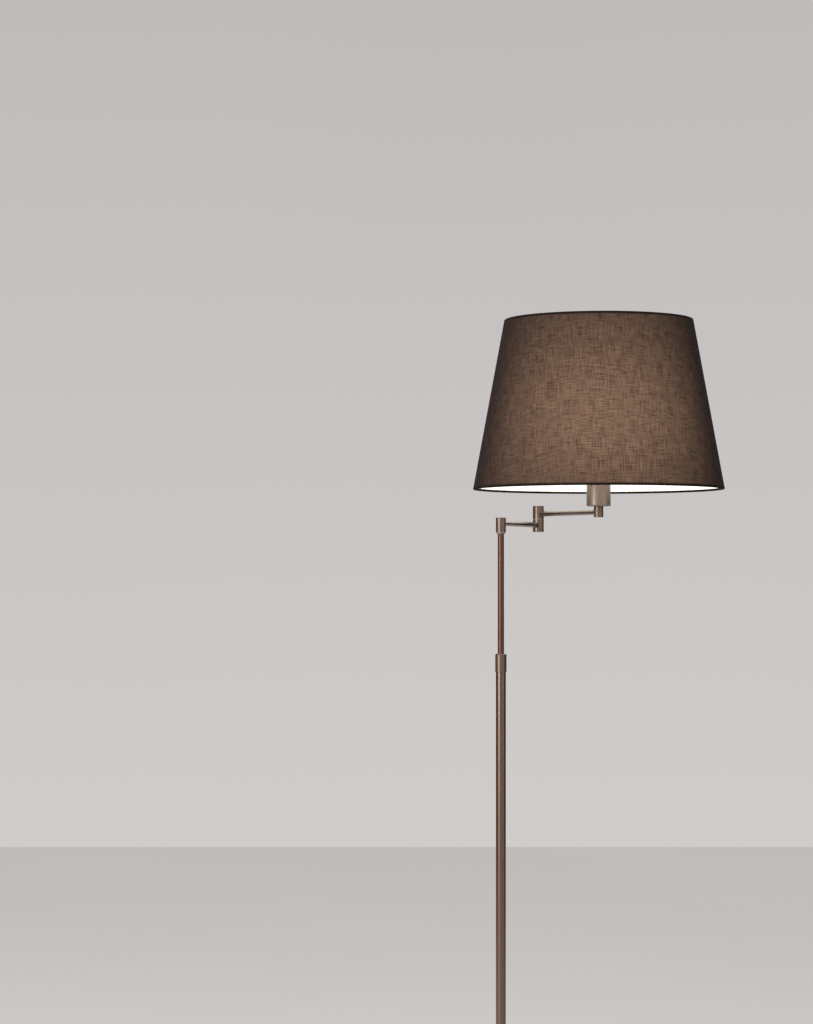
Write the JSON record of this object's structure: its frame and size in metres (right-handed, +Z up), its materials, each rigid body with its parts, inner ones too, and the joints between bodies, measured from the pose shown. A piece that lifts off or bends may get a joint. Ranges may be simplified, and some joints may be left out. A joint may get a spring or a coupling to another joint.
{
  "type": "bridge floor lamp",
  "caption": "Floor lamp with a weighted round base, a height-adjustable pole, folding swing arms and a tapered fabric shade.",
  "frame": {"origin": "centre of the base's underside, on the floor under the pole", "axes": "+Z up along the pole; the shade stands out towards +X; the cord inlet is at the rear, +Y"},
  "size_m": [0.481, 0.4, 1.4511],
  "materials": {
    "bronze_tube": "satin bronze plated tube, fine brushing along its length",
    "bronze_turned": "satin bronze plated, turned",
    "bronze_spun": "satin bronze plated, spun, brushed round",
    "cast_iron": "rough cast, painted dark",
    "foam_pad": "matte foam rubber",
    "zinc_steel": "zinc plated",
    "black_rubber": "matte",
    "nylon": "natural nylon",
    "black_phenolic": "moulded, slight gloss",
    "ceramic": "glazed white ceramic",
    "contact_brass": "bright brass sheet",
    "shade_wire": "white powder coat",
    "shade_lining": "white translucent styrene, smooth",
    "shade_linen": "dark brown slubby linen, plain weave",
    "bulb_cap_metal": "pressed thin metal",
    "opal_glass": "opal white, lit"
  },
  "bodies": {
    "stand": {"base_pad": "foam_pad", "base_ballast": "cast_iron", "base_shell": "bronze_spun", "base_washer": "zinc_steel", "base_locknut": "zinc_steel", "pole_stud": "zinc_steel", "cord_grommet": "black_rubber", "pole_foot_ring": "bronze_turned", "pole_foot_plug": "zinc_steel", "lower_pole": "bronze_tube", "pole_joiner": "bronze_turned", "upper_pole": "bronze_tube", "clamp_bush": "nylon"},
    "collar": {"height_collar": "bronze_turned"},
    "mast": {"inner_pole": "bronze_tube", "guide_bush": "nylon", "swivel_spigot": "bronze_turned", "swivel_washer": "nylon", "spigot_spring_washer": "zinc_steel", "spigot_nut": "zinc_steel"},
    "lower_arm": {"root_barrel": "bronze_turned", "root_cap": "bronze_turned", "lower_arm_tube": "bronze_tube", "elbow_lower_barrel": "bronze_turned", "elbow_base_cap": "bronze_turned", "elbow_washer": "nylon"},
    "upper_arm": {"elbow_upper_barrel": "bronze_turned", "elbow_cap": "bronze_turned", "elbow_pin": "zinc_steel", "elbow_spring_washer": "zinc_steel", "elbow_nut": "zinc_steel", "upper_arm_tube": "bronze_tube", "socket_knuckle": "bronze_turned", "lamp_nipple": "zinc_steel", "cup": "bronze_spun", "lampholder_base": "black_phenolic", "lampholder_sleeve": "black_phenolic", "holder_insert": "ceramic", "holder_shell": "contact_brass", "centre_contact": "contact_brass", "lower_shade_ring": "black_phenolic", "upper_shade_ring": "black_phenolic", "shade_carrier": "shade_wire", "shade_top_ring": "shade_wire", "shade_lining": "shade_lining", "shade_fabric": "shade_linen", "bulb_cap": "bulb_cap_metal", "bulb_globe": "opal_glass"}
  },
  "joints": [
    {"name": "height_slide", "type": "slide", "parent": "stand", "child": "mast", "axis": [0, 0, 1], "range_m": [-0.186, 0.062]},
    {"name": "collar_twist", "type": "hinge", "parent": "stand", "child": "collar", "pos_m": [0, 0, 0.906], "axis": [0, 0, 1], "range_deg": [0, 90]},
    {"name": "pole_swivel", "type": "hinge", "parent": "mast", "child": "lower_arm", "pos_m": [0, 0, 1.1245], "axis": [0, 0, 1], "range_deg": [-175, 175]},
    {"name": "elbow_swivel", "type": "hinge", "parent": "lower_arm", "child": "upper_arm", "pos_m": [0.06576, 0.13482, 1.137], "axis": [0, 0, 1], "range_deg": [-58, 292]}
  ]
}
